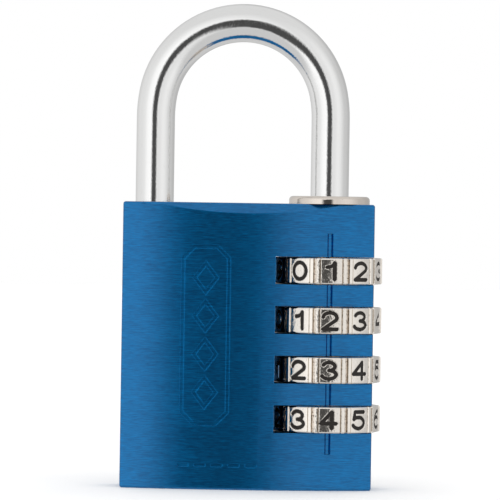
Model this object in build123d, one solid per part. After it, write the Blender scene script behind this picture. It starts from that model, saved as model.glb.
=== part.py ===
from build123d import *

import math
import os

# Padlock with four number wheels. Sizes are in millimetres and +Z is up.
# The origin is the centre of the body's bottom face. The front looks along -Y, and the wheels and the
# shackle's long leg stand towards +X.

# Body: a block whose front and back faces bow outwards, with a planar bevel along each top edge.
BODY_WIDTH = 40.0
BODY_HEIGHT = 45.5
BODY_DEPTH = 14.0
SIDE_DEPTH = 9.0
CORNER_FILLET = 0.45
RIM_FILLET = 0.4
BEVEL_DROP = 1.63
BEVEL_RUN = 1.5

# Shackle: a round rod bent over, with a toe that leaves the body and a leg that stays in it.
ROD_DIAMETER = 6.1
TOE_X = -15.1
LEG_X = 12.85
SHACKLE_TOP = 77.3
BOW_RADIUS = 13.85
BEND_HEIGHT = 15.2
TOE_END = 39.0
LEG_END = 36.4
TOE_HOLE_FLOOR = 38.3
TOE_HOLE_RADIUS = 3.2
TOE_CHAMFER = 0.5

# Number wheels and the slots they turn in.
WHEEL_COUNT = 4
DIGIT_COUNT = 10
WHEEL_PITCH = 7.85
LOWEST_WHEEL_Z = 11.35
WHEEL_THICKNESS = 4.1
SLOT_HEIGHT = 4.4
SLOT_SAW_RADIUS = 40.0
SLOT_END_X = 3.72
RIDGE_RADIUS = 8.6
FIELD_RADIUS = 8.4
RIDGE_GROOVE_RADIUS = 8.1
FIELD_HALF_ANGLE = 11.5
WHEEL_PHASE = 2.0
RIDGE_SLOPE = 1.0
RIDGE_GROOVE_HALF_ANGLE = 1.3
WHEEL_RIM_FILLET = 0.35
WHEEL_ENVELOPE_MARGIN = 0.05

# Tumblers: one sleeve per wheel, keyed to it, with a gate that lets a lug of the stem through.
BORE_RADIUS = 4.95
TUMBLER_RADIUS = 4.85
TUMBLER_NECK_RADIUS = 4.15
WHEEL_NECK_RADIUS = 4.25
TUMBLER_GAP = 0.05
STEP_ABOVE_MIDDLE = 0.1
KEY_TOP = 1.95
KEY_WIDTH = 1.4
KEY_CLEARANCE = 0.1
COUNTERBORE_RADIUS = 3.15
GATE_LAND_HALF = 1.2
GATE_RADIUS = 2.1

# Stem under the leg, with one lug per tumbler and a clip that stops the lift.
STEM_RADIUS = 2.0
STEM_END = 1.35
LUG_RADIUS = 2.9
LUG_WIDTH = 1.6
LUG_CLEARANCE = 0.15
LUG_LOW = -3.75
LUG_HIGH = -1.35
CLIP_GROOVE_RADIUS = 1.35
CLIP_INNER_RADIUS = 1.4
CLIP_OUTER_RADIUS = 2.95
CLIP_LOW = 1.7
CLIP_HIGH = 2.2
CLIP_SIDE_GAP = 0.05
CLIP_MOUTH = 2.2

# Bush that guides the leg, and the plug, spring and washer at the foot of the bore.
BUSH_FLANGE_RADIUS = 6.45
BUSH_FLANGE_HEIGHT = 1.25
BUSH_FLANGE_FILLET = 0.6
BUSH_BORE_RADIUS = 3.13
BUSH_FOOT = 38.9
FIXED_FIT = 0.02
PLUG_HEIGHT = 1.1
WASHER_LOW = 7.0
WASHER_HIGH = 7.4
WASHER_INNER_RADIUS = 3.2
SPRING_WIRE = 0.6
SPRING_MEAN_RADIUS = 3.95
SPRING_TURNS = 4.5
SEAT_GAP = 0.02

# Detents: a ball and spring in a blind hole at the end of each slot.
DETENT_HOLE_RADIUS = 1.05
DETENT_HOLE_FLOOR_X = -1.0
BALL_RADIUS = 1.0
BALL_X = 3.1
DETENT_WIRE = 0.25
DETENT_MEAN_RADIUS = 0.75
DETENT_TURNS = 5

# Marks on the front: an index groove across the wheels, and a plain engraved ornament.
INDEX_X = 12.95
INDEX_MOUTH = 0.95
INDEX_FLOOR = 0.45
INDEX_DEPTH = 0.4
INDEX_LOW = 5.8
INDEX_HIGH = 40.8
ENGRAVE_DEPTH = 0.2
ENGRAVE_WIDTH = 0.55
ORNAMENT_X = -6.7
ORNAMENT_Z = 24.5
ORNAMENT_WIDTH = 7.8
ORNAMENT_HEIGHT = 28.6
ORNAMENT_CUT_CORNER = 2.0
LOZENGE_COUNT = 4
LOZENGE_HALF_WIDTH = 2.1
LOZENGE_HALF_HEIGHT = 2.75
LOZENGE_LINE_REACH = 0.69
DASH_COUNT = 5
DASH_LENGTH = 1.9
DASH_PITCH = 2.7
DASH_X = -4.6
DASH_Z = 3.9

PAST = 1.0


def wheel_centre(number):
    """Height of wheel 1 (top) to 4 (bottom) above the base."""
    return LOWEST_WHEEL_Z + (WHEEL_COUNT - number) * WHEEL_PITCH


def drum(radius, low, high, x=LEG_X):
    """An upright cylinder between two heights, on the leg's axis unless x says otherwise."""
    upright = (Align.CENTER, Align.CENTER, Align.MIN)
    return Pos(x, 0, low) * Cylinder(radius, high - low, align=upright)


def block(low, high):
    """A box between two opposite corners."""
    size = [b - a for a, b in zip(low, high)]
    return Pos(*low) * Box(*size, align=(Align.MIN, Align.MIN, Align.MIN))


def coil(mean_radius, wire, length, turns):
    """An open-coil spring that stands on Z = 0, round the Z axis."""
    rise = length - wire
    path = Helix(pitch=rise / turns, height=rise, radius=mean_radius)
    section = Plane(origin=path @ 0, z_dir=path % 0) * Circle(wire / 2)
    return Pos(0, 0, wire / 2) * sweep(section, path=path, is_frenet=True)


def bowed_prism(inset):
    """The body's plan, with its bowed faces drawn in by inset, raised to the body's height."""
    side_x = BODY_WIDTH / 2
    side_y = SIDE_DEPTH / 2 - inset
    middle_y = BODY_DEPTH / 2 - inset
    front = ThreePointArc((-side_x, -side_y), (0, -middle_y), (side_x, -side_y))
    right = Line((side_x, -side_y), (side_x, side_y))
    back = ThreePointArc((side_x, side_y), (0, middle_y), (-side_x, side_y))
    left = Line((-side_x, side_y), (-side_x, -side_y))
    return extrude(make_face(front + right + back + left), BODY_HEIGHT)


def top_bevel():
    """The wedge that the bevel takes off the front top edge."""
    inner_y = BODY_DEPTH / 2 - BEVEL_RUN
    outer_y = BODY_DEPTH / 2 + PAST
    low_z = BODY_HEIGHT - BEVEL_DROP * (outer_y - inner_y) / BEVEL_RUN
    outline = Polyline(
        (-inner_y, BODY_HEIGHT), (-outer_y, low_z), (-outer_y, BODY_HEIGHT + PAST),
        (-inner_y, BODY_HEIGHT + PAST), close=True
    )
    return extrude(Plane.YZ * make_face(outline), BODY_WIDTH / 2 + PAST, both=True)


def engraved(outline_tool):
    """The part of a tool that lies within the engraving depth of the front face."""
    return outline_tool - bowed_prism(ENGRAVE_DEPTH)


def front_tool(sketch):
    """A sketch in the XZ plane, carried through the front half of the body."""
    return extrude(Plane.XZ * sketch, BODY_DEPTH / 2 + PAST)


def frame_outline(margin):
    """The ornament's tall frame with its corners cut off, drawn in by margin."""
    half_w = ORNAMENT_WIDTH / 2 - margin
    half_h = ORNAMENT_HEIGHT / 2 - margin
    cut = ORNAMENT_CUT_CORNER - margin * (2 - math.sqrt(2))
    corners = []
    for sign_x, sign_z in ((1, 1), (-1, 1), (-1, -1), (1, -1)):
        beside = (sign_x * half_w, sign_z * (half_h - cut))
        above = (sign_x * (half_w - cut), sign_z * half_h)
        corners += [beside, above] if sign_x == sign_z else [above, beside]
    return make_face(Polyline(*corners, close=True))


def lozenge(scale):
    half_w = LOZENGE_HALF_WIDTH * scale
    half_h = LOZENGE_HALF_HEIGHT * scale
    return make_face(Polyline((half_w, 0), (0, half_h), (-half_w, 0), (0, -half_h), close=True))


def ornament():
    """A frame round a column of lozenges, and a dashed line below it."""
    sketch = frame_outline(0) - frame_outline(ENGRAVE_WIDTH)
    ring = lozenge(1) - lozenge(1 - LOZENGE_LINE_REACH / LOZENGE_HALF_WIDTH)
    step = 2 * LOZENGE_HALF_HEIGHT + ENGRAVE_WIDTH
    for number in range(LOZENGE_COUNT):
        sketch += Pos(0, (number - (LOZENGE_COUNT - 1) / 2) * step) * ring
    sketch = Pos(ORNAMENT_X, ORNAMENT_Z) * sketch
    for number in range(DASH_COUNT):
        x = DASH_X + (number - (DASH_COUNT - 1) / 2) * DASH_PITCH
        sketch += Pos(x, DASH_Z) * SlotOverall(DASH_LENGTH, ENGRAVE_WIDTH)
    return engraved(front_tool(sketch))


def index_groove():
    """A flat-bottomed groove with sloping sides, square to the bowed face it is cut in."""
    sagitta = (BODY_DEPTH - SIDE_DEPTH) / 2
    face_radius = ((BODY_WIDTH / 2)**2 + sagitta**2) / (2 * sagitta)
    turn = math.asin(INDEX_X / face_radius)
    face_y = face_radius - BODY_DEPTH / 2 - face_radius * math.cos(turn)
    slope = (INDEX_MOUTH - INDEX_FLOOR) / 2 / INDEX_DEPTH
    outside = INDEX_MOUTH / 2 + slope * PAST
    floor = INDEX_FLOOR / 2
    section = make_face(Polyline(
        (-floor, INDEX_DEPTH), (floor, INDEX_DEPTH), (outside, -PAST), (-outside, -PAST), close=True
    ))
    across = (math.cos(turn), math.sin(turn), 0)
    place = Plane(origin=(INDEX_X, face_y, INDEX_LOW), x_dir=across, z_dir=(0, 0, 1))
    return extrude(place * section, INDEX_HIGH - INDEX_LOW)


def wheel_slot(number):
    middle = wheel_centre(number)
    saw_x = SLOT_END_X + SLOT_SAW_RADIUS
    return drum(SLOT_SAW_RADIUS, middle - SLOT_HEIGHT / 2, middle + SLOT_HEIGHT / 2, x=saw_x)


def detent_hole(number):
    length = SLOT_END_X - DETENT_HOLE_FLOOR_X + PAST
    lying = Rot(0, 90, 0) * Cylinder(DETENT_HOLE_RADIUS, length, align=(Align.CENTER, Align.CENTER, Align.MIN))
    return Pos(DETENT_HOLE_FLOOR_X, 0, wheel_centre(number)) * lying


def lock_body():
    body = bowed_prism(0)
    body = fillet(body.edges().filter_by(Axis.Z), CORNER_FILLET)
    body -= top_bevel()
    body -= mirror(top_bevel(), Plane.XZ)
    rims = body.edges().group_by(Axis.Z)[0] + body.edges().group_by(Axis.Z)[-1]
    body = fillet(rims, RIM_FILLET)
    for number in range(1, WHEEL_COUNT + 1):
        body -= wheel_slot(number)
        body -= detent_hole(number)
    body -= drum(BORE_RADIUS, -PAST, BODY_HEIGHT + PAST)
    body -= drum(TOE_HOLE_RADIUS, TOE_HOLE_FLOOR, BODY_HEIGHT + PAST, x=TOE_X)
    body -= index_groove()
    body -= ornament()
    return body


def bow_path():
    """The rod's centre line: straight legs, a round bow, and shoulders of a larger radius between."""
    half_span = (LEG_X - TOE_X) / 2
    middle_x = (LEG_X + TOE_X) / 2
    crown = SHACKLE_TOP - ROD_DIAMETER / 2
    bend_start = crown - BEND_HEIGHT
    rise = BEND_HEIGHT - BOW_RADIUS
    shoulder = (half_span**2 + rise**2 - BOW_RADIUS**2) / (2 * (half_span - BOW_RADIUS))
    sweep_angle = math.degrees(math.atan2(rise, shoulder - half_span))
    right_leg = Line((LEG_X, LEG_END), (LEG_X, bend_start))
    right = CenterArc((LEG_X - shoulder, bend_start), shoulder, 0, sweep_angle)
    bow = CenterArc((middle_x, crown - BOW_RADIUS), BOW_RADIUS, sweep_angle, 180 - 2 * sweep_angle)
    left = CenterArc((TOE_X + shoulder, bend_start), shoulder, 180 - sweep_angle, sweep_angle)
    left_leg = Line((TOE_X, bend_start), (TOE_X, TOE_END))
    runs = (right_leg, right, bow, left, left_leg)
    return Wire([Plane.XZ * run for run in runs])


def stem_lug(number):
    """The tooth behind the stem that only an aligned gate lets past."""
    middle = wheel_centre(number)
    tooth = block(
        (LEG_X - LUG_WIDTH / 2, 0, middle + LUG_LOW), (LEG_X + LUG_WIDTH / 2, LUG_RADIUS + PAST, middle + LUG_HIGH)
    )
    return tooth & drum(LUG_RADIUS, 0, BODY_HEIGHT)


def shackle():
    start = Plane(origin=(LEG_X, 0, LEG_END), z_dir=(0, 0, 1))
    rod = sweep(start * Circle(ROD_DIAMETER / 2), path=bow_path())
    toe_rim = rod.edges().filter_by(GeomType.CIRCLE).filter_by_position(Axis.Z, TOE_END - 0.01, TOE_END + 0.01)
    rod = chamfer(toe_rim, TOE_CHAMFER)
    rod += drum(STEM_RADIUS, STEM_END, LEG_END + PAST)
    for number in range(1, WHEEL_COUNT + 1):
        rod += stem_lug(number)
    low = CLIP_LOW - CLIP_SIDE_GAP
    high = CLIP_HIGH + CLIP_SIDE_GAP
    rod -= drum(STEM_RADIUS + PAST, low, high) - drum(CLIP_GROOVE_RADIUS, low, high)
    return rod


def stem_clip():
    """A snap ring in the groove near the stem's foot, open towards +X."""
    ring = drum(CLIP_OUTER_RADIUS, CLIP_LOW, CLIP_HIGH) - drum(CLIP_INNER_RADIUS, CLIP_LOW, CLIP_HIGH)
    mouth = block((LEG_X, -CLIP_MOUTH / 2, 0), (LEG_X + CLIP_OUTER_RADIUS + PAST, CLIP_MOUTH / 2, CLIP_HIGH + PAST))
    return ring - mouth


def shackle_bush():
    top = BODY_HEIGHT + BUSH_FLANGE_HEIGHT
    flange = drum(BUSH_FLANGE_RADIUS, BODY_HEIGHT, top)
    flange = fillet(flange.edges().group_by(Axis.Z)[-1], BUSH_FLANGE_FILLET)
    shank = drum(BORE_RADIUS - FIXED_FIT, BUSH_FOOT, BODY_HEIGHT)
    return flange + shank - drum(BUSH_BORE_RADIUS, BUSH_FOOT, top)


def base_plug():
    return drum(BORE_RADIUS - FIXED_FIT, 0, PLUG_HEIGHT)


def thrust_washer():
    return drum(TUMBLER_RADIUS, WASHER_LOW, WASHER_HIGH) - drum(WASHER_INNER_RADIUS, WASHER_LOW, WASHER_HIGH)


def tumbler_spring():
    length = WASHER_LOW - PLUG_HEIGHT - 2 * SEAT_GAP
    return Pos(LEG_X, 0, PLUG_HEIGHT + SEAT_GAP) * coil(SPRING_MEAN_RADIUS, SPRING_WIRE, length, SPRING_TURNS)


def key_tool(width, reach, low, high):
    """A bar from the axis towards the front, cut round at its reach: the key, or the notch it sits in."""
    bar = block((LEG_X - width / 2, -reach - PAST, low), (LEG_X + width / 2, 0, high))
    return bar & drum(reach, low, high)


def tumbler(number):
    middle = wheel_centre(number)
    half = WHEEL_PITCH / 2 - TUMBLER_GAP / 2
    step = middle + STEP_ABOVE_MIDDLE
    sleeve = drum(TUMBLER_RADIUS, middle - half, step) + drum(TUMBLER_NECK_RADIUS, step, middle + half)
    sleeve += key_tool(KEY_WIDTH, TUMBLER_RADIUS, step, middle + KEY_TOP)
    sleeve -= drum(COUNTERBORE_RADIUS, middle - half, middle - GATE_LAND_HALF)
    sleeve -= drum(COUNTERBORE_RADIUS, middle + GATE_LAND_HALF, middle + half)
    sleeve -= drum(GATE_RADIUS, middle - GATE_LAND_HALF, middle + GATE_LAND_HALF)
    gate_half = LUG_WIDTH / 2 + LUG_CLEARANCE
    gate = block((LEG_X - gate_half, 0, middle - half), (LEG_X + gate_half, TUMBLER_RADIUS, middle + half))
    return sleeve - (gate & drum(COUNTERBORE_RADIUS, middle - half, middle + half))


def wheel_outline():
    """Ten flat fields with a pair of narrow ridges between each two."""
    def point(angle, radius):
        turn = math.radians(angle)
        return (radius * math.sin(turn), -radius * math.cos(turn))

    step = 360 / DIGIT_COUNT
    valley = step / 2
    points = []
    for number in range(DIGIT_COUNT):
        start = number * step + WHEEL_PHASE
        points.append(point(start - FIELD_HALF_ANGLE, FIELD_RADIUS))
        points.append(point(start + FIELD_HALF_ANGLE, FIELD_RADIUS))
        points.append(point(start + FIELD_HALF_ANGLE + RIDGE_SLOPE, RIDGE_RADIUS))
        points.append(point(start + valley - RIDGE_GROOVE_HALF_ANGLE - RIDGE_SLOPE, RIDGE_RADIUS))
        points.append(point(start + valley - RIDGE_GROOVE_HALF_ANGLE, RIDGE_GROOVE_RADIUS))
        points.append(point(start + valley + RIDGE_GROOVE_HALF_ANGLE, RIDGE_GROOVE_RADIUS))
        points.append(point(start + valley + RIDGE_GROOVE_HALF_ANGLE + RIDGE_SLOPE, RIDGE_RADIUS))
        points.append(point(start + step - FIELD_HALF_ANGLE - RIDGE_SLOPE, RIDGE_RADIUS))
    return make_face(Polyline(*points, close=True))


def dial_wheel(number):
    middle = wheel_centre(number)
    low = middle - WHEEL_THICKNESS / 2
    high = middle + WHEEL_THICKNESS / 2
    envelope = drum(RIDGE_RADIUS + WHEEL_ENVELOPE_MARGIN, low, high)
    envelope = fillet(envelope.edges().filter_by(GeomType.CIRCLE), WHEEL_RIM_FILLET)
    wheel = Pos(LEG_X, 0, low) * extrude(wheel_outline(), WHEEL_THICKNESS) & envelope
    step = middle + STEP_ABOVE_MIDDLE
    hollow = drum(BORE_RADIUS, low - PAST, step) + drum(WHEEL_NECK_RADIUS, step, high + PAST)
    notch = key_tool(KEY_WIDTH + 2 * KEY_CLEARANCE, BORE_RADIUS, step, high + PAST)
    for index in range(DIGIT_COUNT):
        hollow += notch.rotate(Axis((LEG_X, 0, 0), (0, 0, 1)), index * 360 / DIGIT_COUNT)
    return wheel - hollow


def detent_ball(number):
    return Pos(BALL_X, 0, wheel_centre(number)) * Sphere(BALL_RADIUS)


def detent_spring(number):
    contact = math.sqrt((BALL_RADIUS + DETENT_WIRE / 2)**2 - DETENT_MEAN_RADIUS**2)
    spring_end = BALL_X - contact + DETENT_WIRE / 2
    length = spring_end - DETENT_HOLE_FLOOR_X - 3 * SEAT_GAP
    lying = Rot(0, 90, 0) * coil(DETENT_MEAN_RADIUS, DETENT_WIRE, length, DETENT_TURNS)
    return Pos(DETENT_HOLE_FLOOR_X + SEAT_GAP, 0, wheel_centre(number)) * lying


SINGLE_PARTS = (lock_body, shackle, stem_clip, shackle_bush, base_plug, thrust_washer, tumbler_spring)
PARTS_PER_WHEEL = (dial_wheel, tumbler, detent_ball, detent_spring)

os.makedirs("parts", exist_ok=True)
for make in SINGLE_PARTS:
    export_step(make(), f"parts/{make.__name__}.step")
for make in PARTS_PER_WHEEL:
    for wheel_number in range(1, WHEEL_COUNT + 1):
        export_step(make(wheel_number), f"parts/{make.__name__}_{wheel_number}.step")
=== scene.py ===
import math

import bpy
import numpy as np
from mathutils import Matrix, Vector


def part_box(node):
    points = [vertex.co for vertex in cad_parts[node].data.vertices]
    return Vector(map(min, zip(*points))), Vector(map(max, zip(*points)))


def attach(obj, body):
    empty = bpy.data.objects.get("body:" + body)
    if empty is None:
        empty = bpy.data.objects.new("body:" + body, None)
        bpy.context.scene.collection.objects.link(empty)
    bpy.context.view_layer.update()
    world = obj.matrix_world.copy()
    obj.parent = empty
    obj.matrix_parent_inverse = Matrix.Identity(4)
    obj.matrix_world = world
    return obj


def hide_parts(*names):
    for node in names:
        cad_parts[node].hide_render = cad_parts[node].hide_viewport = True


MM = 0.001

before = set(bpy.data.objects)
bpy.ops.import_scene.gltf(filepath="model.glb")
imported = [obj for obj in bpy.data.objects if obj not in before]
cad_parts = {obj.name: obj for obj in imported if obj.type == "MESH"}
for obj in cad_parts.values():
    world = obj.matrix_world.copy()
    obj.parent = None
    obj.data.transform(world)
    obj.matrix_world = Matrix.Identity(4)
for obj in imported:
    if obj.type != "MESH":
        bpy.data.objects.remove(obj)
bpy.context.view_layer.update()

# ---------------------------------------------------------------- shader building

def add(tree, kind, inputs=None, **settings):
    """Adds one shader node. An input is a plain value, or the socket that feeds it."""
    made = tree.nodes.new("ShaderNode" + kind)
    for name, value in settings.items():
        setattr(made, name, value)
    for name, value in (inputs or {}).items():
        if isinstance(value, bpy.types.NodeSocket):
            tree.links.new(value, made.inputs[name])
        else:
            made.inputs[name].default_value = value
    return made


def maths(tree, operation, first, second=0.0):
    """One arithmetic node on plain values or sockets."""
    return add(tree, "Math", {0: first, 1: second}, operation=operation).outputs[0]


def times(tree, first, second):
    return maths(tree, "MULTIPLY", first, second)


def spread(tree, value, low, high, to_low=0.0, to_high=1.0):
    """Carries a value from one range to another, clamped at both ends."""
    return add(tree, "MapRange", {
        "Value": value, "From Min": low, "From Max": high, "To Min": to_low, "To Max": to_high,
    }).outputs["Result"]


def blend_colours(tree, factor, first, second):
    return add(tree, "Mix", {0: factor, 6: first, 7: second}, data_type="RGBA").outputs[2]


def blend_values(tree, factor, first, second):
    return add(tree, "Mix", {0: factor, 2: first, 3: second}, data_type="FLOAT").outputs[0]


def noise(tree, coords, grain, detail=2.0, rough=0.5):
    """Noise whose grains have the given size in millimetres along X, Y and Z."""
    scale = tuple(1 / (size * MM) for size in grain)
    placed = add(tree, "Mapping", {"Vector": coords, "Scale": scale})
    return add(tree, "TexNoise", {
        "Vector": placed.outputs[0], "Scale": 1.0, "Detail": detail, "Roughness": rough,
    }).outputs["Fac"]


def start_material(name):
    made = bpy.data.materials.new(name)
    made.use_nodes = True
    tree = made.node_tree
    tree.nodes.clear()
    shader = add(tree, "BsdfPrincipled")
    add(tree, "OutputMaterial", {"Surface": shader.outputs[0]})
    coords = add(tree, "TexCoord").outputs["Object"]
    return made, tree, shader, coords


def feed(tree, shader, **values):
    """Sets or links inputs of the shader: feed(tree, shader, Metallic=1.0, Roughness=socket)."""
    for name, value in values.items():
        socket = shader.inputs[name.replace("_", " ")]
        if isinstance(value, bpy.types.NodeSocket):
            tree.links.new(value, socket)
        else:
            socket.default_value = value


def bump(tree, height, depth_mm, strength=1.0, normal=None):
    inputs = {"Height": height, "Distance": depth_mm * MM, "Strength": strength}
    if normal is not None:
        inputs["Normal"] = normal
    return add(tree, "Bump", inputs).outputs["Normal"]


def eased_edges(tree, radius_mm):
    """A normal that rounds sharp edges over, and a mask that is 1 at them and 0 on open faces."""
    rounded = add(tree, "Bevel", {"Radius": radius_mm * MM}, samples=6).outputs[0]
    true_normal = add(tree, "NewGeometry").outputs["Normal"]
    dot = add(tree, "VectorMath", {0: rounded, 1: true_normal}, operation="DOT_PRODUCT").outputs["Value"]
    return rounded, spread(tree, maths(tree, "SUBTRACT", 1.0, dot), 0.02, 0.25)


# ---------------------------------------------------------------- materials

DARK_BLUE = (0.0002, 0.108, 0.300, 1)
LIGHT_BLUE = (0.0008, 0.200, 0.515, 1)
EDGE_BLUE = (0.06, 0.26, 0.52, 1)
# Painted shade: near-black for the slots' walls, standing in for the shade inside the recess over their
# duller milled finish.
SLOT_WALL_SHADE_BLUE = (0.002, 0.010, 0.022, 1)

# The level faces between these heights are the slots' walls. Below is the underside, above the top.
SLOT_WALLS_START = (0.5 * MM, 1.0 * MM)
SLOT_WALLS_END = (42 * MM, 43 * MM)


def anodised_body():
    """Blue anodised aluminium, brushed level all round and along the top. On the slots' walls it has no
    coat and is painted near-black: painted shade of the recess over a duller milled finish.
    """
    made, tree, shader, coords = start_material("anodised_body")
    up = add(tree, "SeparateXYZ", {0: add(tree, "NewGeometry").outputs["Normal"]}).outputs["Z"]
    height = add(tree, "SeparateXYZ", {0: coords}).outputs["Z"]
    level = spread(tree, maths(tree, "ABSOLUTE", up), 0.55, 0.75)
    coarse = blend_values(tree, level, noise(tree, coords, (2.4, 2.4, 0.10), 1.0),
                          noise(tree, coords, (2.4, 0.10, 2.4), 1.0))
    fine = blend_values(tree, level, noise(tree, coords, (1.0, 1.0, 0.07), 1.0),
                        noise(tree, coords, (1.0, 0.07, 1.0), 1.0))
    brush = maths(tree, "ADD", times(tree, coarse, 0.5), times(tree, fine, 0.5))
    cloud = noise(tree, coords, (9.0, 9.0, 6.0), 2.0)
    tone = maths(tree, "ADD", brush, times(tree, maths(tree, "SUBTRACT", cloud, 0.5), 0.12))
    blue = blend_colours(tree, spread(tree, tone, 0.36, 0.64), DARK_BLUE, LIGHT_BLUE)
    rounded, edges = eased_edges(tree, 0.16)
    blue = blend_colours(tree, times(tree, edges, 0.06), blue, EDGE_BLUE)
    inside = times(tree, spread(tree, height, *SLOT_WALLS_START),
                   spread(tree, height, *SLOT_WALLS_END, 1.0, 0.0))
    # Painted shade on the slots' walls: their colour is pulled towards near-black, and their coat is taken
    # away.
    shaded_slot_wall = times(tree, level, inside)
    blue = blend_colours(tree, times(tree, shaded_slot_wall, 0.8), blue, SLOT_WALL_SHADE_BLUE)
    coat = spread(tree, shaded_slot_wall, 0.0, 1.0, 0.52, 0.0)
    rough = spread(tree, brush, 0.3, 0.7, 0.30, 0.37)
    tangent = add(tree, "Tangent", direction_type="RADIAL", axis="Z").outputs[0]
    feed(tree, shader, Base_Color=blue, Metallic=1.0, Roughness=rough, Anisotropic=0.65,
         Anisotropic_Rotation=0.25, Tangent=tangent, Coat_Weight=coat, Coat_Roughness=0.14,
         Normal=bump(tree, brush, 0.008, 0.4, rounded))
    return made


def plated_steel():
    """The shackle: bright plating over drawn rod, with an orange-peel grain, faint rubs and stains."""
    made, tree, shader, coords = start_material("plated_steel")
    peel = noise(tree, coords, (0.26, 0.26, 0.26), 3.0)
    rubs = noise(tree, coords, (0.9, 0.9, 5.0), 4.0, 0.6)
    marks = noise(tree, coords, (1.6, 1.6, 1.6), 6.0, 0.7)
    stain = spread(tree, marks, 0.60, 0.74, 0.0, 0.25)
    steel = blend_colours(tree, stain, (0.83, 0.83, 0.825, 1), (0.62, 0.60, 0.58, 1))
    rough = spread(tree, rubs, 0.35, 0.7, 0.055, 0.14)
    feed(tree, shader, Base_Color=steel, Metallic=1.0, Roughness=rough,
         Normal=bump(tree, peel, 0.013, 0.8))
    return made


def nickel(name, colour, pit_colour, roughness, peel_mm, dirt=0.0):
    """Nickel plate with small dark pits. Dirt is 0, or the name of the mask that says where it gathers."""
    made, tree, shader, coords = start_material(name)
    peel = noise(tree, coords, (0.36, 0.36, 0.36), 2.0, 0.6)
    pits = noise(tree, coords, (0.26, 0.26, 0.26), 5.0, 0.75)
    cloud = noise(tree, coords, (2.2, 2.2, 1.4), 3.0)
    if isinstance(dirt, str):
        dirt = add(tree, "Attribute", attribute_name=dirt).outputs["Fac"]
    pitted = spread(tree, maths(tree, "ADD", pits, times(tree, dirt, 0.10)), 0.62, 0.70)
    warm = blend_colours(tree, times(tree, dirt, 0.55), colour, (0.52, 0.43, 0.34, 1))
    plate = blend_colours(tree, pitted, warm, pit_colour)
    rough = maths(tree, "ADD", spread(tree, cloud, 0.35, 0.7, *roughness), times(tree, pitted, 0.25))
    feed(tree, shader, Base_Color=plate, Metallic=1.0, Roughness=rough,
         Normal=bump(tree, peel, peel_mm, 0.8))
    return made, tree, shader, coords, plate, rough


def bush_nickel():
    return nickel("bush_nickel", (0.72, 0.66, 0.60, 1), (0.24, 0.20, 0.17, 1), (0.05, 0.12), 0.006)[0]


def dial_nickel():
    """The wheels' cast and plated metal, with black filling in the engraved digits."""
    made, tree, shader, coords, plate, rough = nickel(
        "dial_nickel", (0.83, 0.785, 0.725, 1), (0.16, 0.11, 0.08, 1), (0.08, 0.18), 0.045, "dirt")
    ink = add(tree, "Attribute", attribute_name="ink").outputs["Fac"]
    chips = noise(tree, coords, (0.12, 0.12, 0.12), 3.0, 0.7)
    filled = spread(tree, maths(tree, "ADD", ink, times(tree, chips, 0.35)), 0.55, 0.75)
    black = blend_colours(tree, chips, (0.008, 0.007, 0.006, 1), (0.036, 0.029, 0.025, 1))
    feed(tree, shader, Base_Color=blend_colours(tree, filled, plate, black),
         Metallic=maths(tree, "SUBTRACT", 1.0, filled), Specular_IOR_Level=0.3,
         Roughness=blend_values(tree, filled, rough, 0.55))
    return made


def turned_metal(name, colour, shade, rough):
    """A bare turned or drawn piece, with fine rings of tool marks round the wheel axis."""
    made, tree, shader, coords = start_material(name)
    marks = noise(tree, coords, (0.9, 0.9, 0.07), 3.0)
    cloud = noise(tree, coords, (1.8, 1.8, 1.8), 4.0)
    metal = blend_colours(tree, spread(tree, cloud, 0.35, 0.7), colour, shade)
    feed(tree, shader, Base_Color=metal, Metallic=1.0,
         Roughness=spread(tree, marks, 0.3, 0.7, rough, rough + 0.14),
         Normal=bump(tree, marks, 0.006, 0.6))
    return made


def dress_cad_nodes():
    """Gives each CAD node the finish of its family: its name without the wheel's number."""
    steel = turned_metal("spring_steel", (0.52, 0.52, 0.53, 1), (0.36, 0.35, 0.35, 1), 0.22)
    brass = turned_metal("tumbler_brass", (0.78, 0.56, 0.26, 1), (0.58, 0.40, 0.18, 1), 0.24)
    plug = turned_metal("plug_metal", (0.60, 0.61, 0.63, 1), (0.45, 0.46, 0.48, 1), 0.28)
    finishes = {
        "lock_body": anodised_body(),
        "shackle": plated_steel(),
        "shackle_bush": bush_nickel(),
        "base_plug": plug,
        "tumbler": brass,
    }
    for name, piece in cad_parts.items():
        family = name.rstrip("_1234")
        for place in piece.material_slots:
            place.material = finishes.get(family, steel)


# ---------------------------------------------------------------- number wheels

# Sizes are in millimetres and angles in degrees, counted from the middle of a digit's field. PHASE
# turns the digits past the index line. DAYLIGHT_CLOSED is added to each flat side of a wheel, so
# that no light shows between the top wheel and its slot.
CODE = (1, 2, 3, 4)
DIGITS = 10
STEP = 360 / DIGITS
FIELD_HALF = 11.5
VALLEY_LEAD = 0.1
VALLEY_RUN = 0.5
RIDGE_START = 12.1
RIDGE_END = 16.1
FLANK = 0.9
PHASE = 2.0
CORNER_RADIUS = 8.4
CROWN = 0.15
VALLEY_RADIUS = 8.27
RIDGE_RADIUS = 8.59
GROOVE_RADIUS = 8.16
NECK_RADIUS = 4.25
NOTCH_HALF_WIDTH = 0.8
STEP_HEIGHT = 0.1
BORE_RADIUS = 4.95
RIM_ROUND = 0.3
DAYLIGHT_CLOSED = 0.04

# Each digit is stretched across its field, stands a little left of its middle and is sunk with
# sloping walls, which the ink covers to just below their top. FAR stands for no stroke near.
GLYPH_STRETCH = 1.11
GLYPH_SHIFT = -0.14
STROKE_HALF = 0.295
STROKE_WALL = 0.10
ENGRAVE_DEPTH = 0.24
INK_EDGE = 0.08
FAR = 9.0

# Dirt gathers below the ridges, from just inside a field's edge.
DIRT_BELOW_RIDGE = 0.05
DIRT_LEAD = 0.6
DIRT_RUN = 0.8

# How finely a wheel's grid is cut.
FIELD_COLUMNS = 49
RIDGE_COLUMNS = 29
RIM_ROWS = 46
ROUND_ROWS = 6


def line(*points):
    return np.array(points, float)


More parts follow.
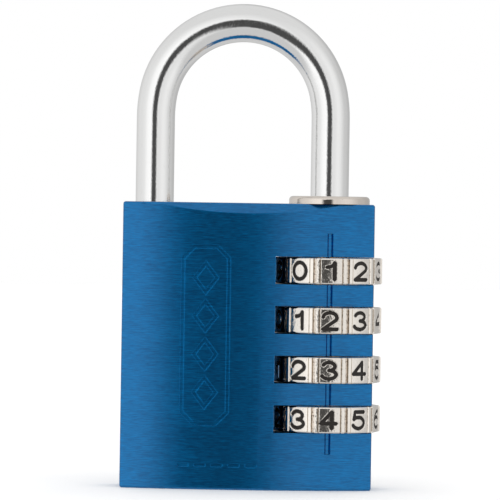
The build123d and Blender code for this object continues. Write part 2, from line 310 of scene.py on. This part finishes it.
def arc(centre, radii, start, end, steps=28):
    """Points along part of an ellipse, with the angles in degrees."""
    turn = np.radians(np.linspace(start, end, steps))
    return np.stack([centre[0] + radii[0] * np.cos(turn), centre[1] + radii[1] * np.sin(turn)], 1)


def join(*runs):
    return np.concatenate(runs)


def six():
    bowl = arc((0, -0.47), (1.0, 0.83), 0, 360)
    stem = arc((0.42, -0.47), (1.42, 1.77), 180, 72)
    return [bowl, stem]


# Centre lines of each digit's strokes, in millimetres from the digit's middle.
STROKES = {
    0: [arc((0, 0), (1.06, 1.3), 0, 360, 48)],
    1: [line((0.58, -1.3), (0.58, 1.3)), arc((-0.50, 1.42), (1.04, 0.78), -8, -90)],
    2: [join(arc((0, 0.50), (1.0, 0.80), 172, -28), line((-1.02, -1.3), (1.04, -1.3)))],
    3: [arc((-0.04, 0.66), (0.86, 0.64), 160, -90), arc((-0.04, -0.64), (1.04, 0.66), 90, -162)],
    4: [line((0.46, -1.3), (0.46, 1.3), (-1.08, -0.52), (1.08, -0.52))],
    5: [join(line((0.92, 1.3), (-0.66, 1.3), (-0.86, 0.16)),
             arc((-0.06, -0.42), (1.02, 0.88), 138, -155))],
    6: six(),
    7: [line((-1.02, 1.3), (1.04, 1.3), (-0.28, -1.3))],
    8: [arc((0, 0.68), (0.80, 0.62), 0, 360), arc((0, -0.62), (1.02, 0.68), 0, 360)],
    9: [-run for run in six()],
}


def distance_to_digit(digit, across, along):
    """Distance from each point of a field to the nearest stroke's centre line."""
    nearest = np.full(across.shape, FAR)
    for run in STROKES[digit]:
        for start, end in zip(run[:-1], run[1:]):
            way = end - start
            squared = max(float(way @ way), 1e-9)
            reach = np.clip(((across - start[0]) * way[0] + (along - start[1]) * way[1]) / squared, 0, 1)
            gap = np.hypot(across - start[0] - reach * way[0], along - start[1] - reach * way[1])
            nearest = np.minimum(nearest, gap)
    return nearest


def ease(value):
    value = np.clip(value, 0, 1)
    return value * value * (3 - 2 * value)


def rim_radius(phi):
    """Radius of the wheel's outside at an angle from the nearest field's middle."""
    side = np.abs(phi)
    within = np.radians(np.minimum(side, FIELD_HALF))
    flat = CORNER_RADIUS * math.cos(math.radians(FIELD_HALF)) / np.cos(within)
    field = flat + CROWN * (1 - np.clip(side / FIELD_HALF, 0, 1)**2)
    valley = field + (VALLEY_RADIUS - field) * ease((side - FIELD_HALF + VALLEY_LEAD) / VALLEY_RUN)
    ridge = valley + (RIDGE_RADIUS - valley) * ease((side - RIDGE_START) / FLANK)
    return ridge + (GROOVE_RADIUS - ridge) * ease((side - RIDGE_END) / FLANK)


def wheel_columns():
    """Angles from a field's middle: one stretch of columns that repeats for each digit."""
    field = np.linspace(-FIELD_HALF, FIELD_HALF, FIELD_COLUMNS)
    ridges = np.linspace(FIELD_HALF, STEP - FIELD_HALF, RIDGE_COLUMNS)[1:-1]
    return np.concatenate([field, ridges])


def wheel_rows(half):
    """(kind, height) of each ring of points, once round the wheel's section."""
    bend = np.radians(np.linspace(0, 90, ROUND_ROWS))
    top = [("rim", half - RIM_ROUND + RIM_ROUND * math.sin(t)) for t in bend[::-1]]
    side = [("rim", z) for z in np.linspace(half - RIM_ROUND, -half + RIM_ROUND, RIM_ROWS)[1:-1]]
    low = [(kind, -z) for kind, z in reversed(top)]
    inside = [("bore", -half), ("bore", STEP_HEIGHT), ("neck", STEP_HEIGHT), ("neck", half)]
    return inside + top + side + low


def build_wheel(number):
    """One number wheel, engraved with its ten digits, with its code digit towards the front."""
    low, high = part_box(f"dial_wheel_{number}")
    middle = (low + high) / 2
    half = (high.z - low.z) / 2 / MM + DAYLIGHT_CLOSED
    phi = wheel_columns()
    rows = wheel_rows(half)
    kinds = np.array([kind for kind, _ in rows])
    heights = np.array([z for _, z in rows])
    outer = kinds == "rim"
    points, inks, dirts = [], [], []
    for place in range(DIGITS):
        digit = (CODE[number - 1] + place) % DIGITS
        local = np.where(phi > STEP / 2, phi - STEP, phi)
        plain = rim_radius(local)
        notch = np.abs(BORE_RADIUS * np.radians(local + PHASE)) < NOTCH_HALF_WIDTH
        grid_z = np.repeat(heights[None, :], len(phi), 0)
        reach = (CORNER_RADIUS * np.radians(local) - GLYPH_SHIFT) / GLYPH_STRETCH
        across = np.repeat(reach[:, None], len(rows), 1)
        gap = distance_to_digit(digit, across, grid_z)
        gap = np.where(outer[None, :] & (np.abs(local) < FIELD_HALF)[:, None], gap, FAR)
        over = np.clip(np.abs(grid_z) - (half - RIM_ROUND), 0, RIM_ROUND)
        rounding = RIM_ROUND - np.sqrt(np.maximum(RIM_ROUND**2 - over**2, 0))
        sunk_digit = ENGRAVE_DEPTH * ease((STROKE_HALF + 0.02 - gap) / STROKE_WALL)
        radius = plain[:, None] - rounding - sunk_digit
        radius = np.where((kinds == "bore")[None, :], BORE_RADIUS, radius)
        neck = np.where(notch, BORE_RADIUS, NECK_RADIUS)[:, None]
        radius = np.where((kinds == "neck")[None, :], neck, radius)
        turn = np.radians(phi + place * STEP + PHASE)[:, None]
        points.append(np.stack([radius * np.sin(turn), -radius * np.cos(turn), grid_z], 2))
        inks.append(ease((STROKE_HALF + 0.01 - gap) / INK_EDGE))
        drop = RIDGE_RADIUS - DIRT_BELOW_RIDGE - plain
        low_lying = np.clip(drop / (RIDGE_RADIUS - GROOVE_RADIUS), 0, 1)
        beside = ease((np.abs(local) - FIELD_HALF + DIRT_LEAD) / DIRT_RUN)
        dirts.append(np.repeat((low_lying * beside)[:, None], len(rows), 1))
    points = np.concatenate(points).reshape(-1, 3) * MM + np.array(middle)
    masks = {"ink": np.concatenate(inks).reshape(-1), "dirt": np.concatenate(dirts).reshape(-1)}
    return wheel_mesh(f"number_wheel_{number}", points, masks, DIGITS * len(phi), len(rows))


def wheel_mesh(name, points, masks, columns, rows):
    """Joins a closed grid of points, column by column, into one piece that keeps its masks."""
    column = np.arange(columns)[:, None]
    row = np.arange(rows)[None, :]
    next_column = (column + 1) % columns
    next_row = (row + 1) % rows
    corners = [column * rows + row, column * rows + next_row,
               next_column * rows + next_row, next_column * rows + row]
    quads = np.stack(corners, 2).reshape(-1, 4)
    mesh = bpy.data.meshes.new(name)
    mesh.from_pydata(points.tolist(), [], quads.tolist())
    for label, values in masks.items():
        mesh.attributes.new(label, "FLOAT", "POINT").data.foreach_set("value", values.astype(np.float32))
    mesh.shade_smooth()
    mesh.set_sharp_from_angle(angle=math.radians(50))
    piece = bpy.data.objects.new(name, mesh)
    bpy.context.scene.collection.objects.link(piece)
    return piece


def add_wheels():
    finish = dial_nickel()
    for number in range(1, len(CODE) + 1):
        piece = build_wheel(number)
        piece.data.materials.append(finish)
        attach(piece, f"wheel_{number}")
        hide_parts(f"dial_wheel_{number}")


# ---------------------------------------------------------------- studio

CAMERA_PLACE = Vector((-4.2, -620.0, 44.3)) * MM
CAMERA_YAW = 0.412
CAMERA_PITCH = -0.583
CAMERA_ROLL = 0.869
SENSOR_MM = 36.0
LENS_MM = 279.072


def add_camera():
    data = bpy.data.cameras.new("camera")
    data.sensor_width = SENSOR_MM
    data.lens = LENS_MM
    camera = bpy.data.objects.new("camera", data)
    bpy.context.scene.collection.objects.link(camera)
    yaw = Matrix.Rotation(math.radians(-CAMERA_YAW), 4, "Z")
    pitch = Matrix.Rotation(math.radians(90 + CAMERA_PITCH), 4, "X")
    roll = Matrix.Rotation(math.radians(CAMERA_ROLL), 4, "Z")
    camera.matrix_world = Matrix.Translation(CAMERA_PLACE) @ (yaw @ pitch) @ roll
    bpy.context.scene.camera = camera


TABLE_FRONT = -0.20
TABLE_BACK = 1.6
TABLE_SIDE = 1.2


def add_floor():
    """A pale table top, left out of the metal's reflections, which see the dome's lower half instead."""
    mesh = bpy.data.meshes.new("floor")
    corners = [(-TABLE_SIDE, TABLE_FRONT, 0), (TABLE_SIDE, TABLE_FRONT, 0),
               (TABLE_SIDE, TABLE_BACK, 0), (-TABLE_SIDE, TABLE_BACK, 0)]
    mesh.from_pydata(corners, [], [(0, 1, 2, 3)])
    floor = bpy.data.objects.new("floor", mesh)
    bpy.context.scene.collection.objects.link(floor)
    made, tree, shader, coords = start_material("pale_floor")
    cloud = noise(tree, coords, (60.0, 60.0, 60.0), 2.0)
    pale = blend_colours(tree, cloud, (0.93, 0.93, 0.93, 1), (0.96, 0.96, 0.96, 1))
    feed(tree, shader, Base_Color=pale, Roughness=0.8, Specular_IOR_Level=0.1)
    mesh.materials.append(made)
    floor.visible_glossy = False


# Brightness of the studio by azimuth, from behind the lock round by its left side, its front and its
# right side. Across OVERHEAD_RISE and UNDER_FALL it turns to one even brightness, above and below.
# All angles are in degrees.
ROUND_LIGHT = (
    (-180, 0.60), (-134, 0.78), (-116, 0.86), (-90, 0.88), (-67, 0.95),
    (-50, 1.12), (-26, 1.20), (20, 0.88), (46, 1.00), (62, 0.95),
    (76, 0.82), (92, 0.68), (112, 0.66), (134, 0.56), (180, 0.52),
)
OVERHEAD_LIGHT = 0.82
OVERHEAD_RISE = (22, 55)
UNDER_LIGHT = 0.68
UNDER_FALL = (-20, -34)
GAP_DEPTH = 0.93
GAP_AZIMUTH = (-20.5, 7.5)
GAP_HEIGHT = (-27, 18)
GAP_SOFT_SIDES = 4.0
GAP_SOFT_ENDS = 3.0


def band(tree, value, low, high, soft):
    """1 between two bounds and 0 outside, with soft edges."""
    rise = spread(tree, value, low - soft, low + soft)
    fall = spread(tree, value, high - soft, high + soft, 1.0, 0.0)
    return times(tree, rise, fall)


def add_dome():
    """A studio as a dome of soft light all round and overhead, with a dark gap where the camera stands."""
    world = bpy.data.worlds.new("studio")
    world.use_nodes = True
    tree = world.node_tree
    tree.nodes.clear()
    way = add(tree, "SeparateXYZ", {0: add(tree, "TexCoord").outputs["Generated"]}).outputs
    azimuth = maths(tree, "ARCTAN2", way["X"], times(tree, way["Y"], -1.0))
    azimuth = times(tree, azimuth, 180 / math.pi)
    height = times(tree, maths(tree, "ARCSINE", way["Z"]), 180 / math.pi)
    ramp = add(tree, "ValToRGB", {0: spread(tree, azimuth, -180, 180)})
    stops = ramp.color_ramp.elements
    while len(stops) < len(ROUND_LIGHT):
        stops.new(0.5)
    for stop, (angle, bright) in zip(stops, ROUND_LIGHT):
        stop.position = (angle + 180) / 360
        stop.color = (bright, bright, bright, 1)
    around = add(tree, "RGBToBW", {0: ramp.outputs[0]}).outputs[0]
    light = blend_values(tree, spread(tree, height, *OVERHEAD_RISE), around, OVERHEAD_LIGHT)
    gap = times(tree, band(tree, azimuth, *GAP_AZIMUTH, GAP_SOFT_SIDES),
                band(tree, height, *GAP_HEIGHT, GAP_SOFT_ENDS))
    light = blend_values(tree, spread(tree, height, *UNDER_FALL), light, UNDER_LIGHT)
    light = times(tree, light, maths(tree, "SUBTRACT", 1.0, times(tree, gap, GAP_DEPTH)))
    seen = add(tree, "LightPath").outputs["Is Camera Ray"]
    strength = blend_values(tree, seen, light, 1.0)
    shader = add(tree, "Background", {"Color": (1, 1, 1, 1), "Strength": strength})
    add(tree, "OutputWorld", {"Surface": shader.outputs[0]})
    bpy.context.scene.world = world


TABLE_LIGHT_STRENGTH = 1.15
TABLE_LIGHT_WIDTH = 100


def add_table_light():
    """A broad light from above that brings the table to near white, and adds no highlight to the metal."""
    data = bpy.data.lights.new("table_light", "SUN")
    data.energy = TABLE_LIGHT_STRENGTH
    data.angle = math.radians(TABLE_LIGHT_WIDTH)
    lamp = bpy.data.objects.new("table_light", data)
    lamp.visible_glossy = False
    bpy.context.scene.collection.objects.link(lamp)


dress_cad_nodes()
add_wheels()
add_floor()
add_dome()
add_table_light()
add_camera()
bpy.context.scene.view_settings.view_transform = "Standard"
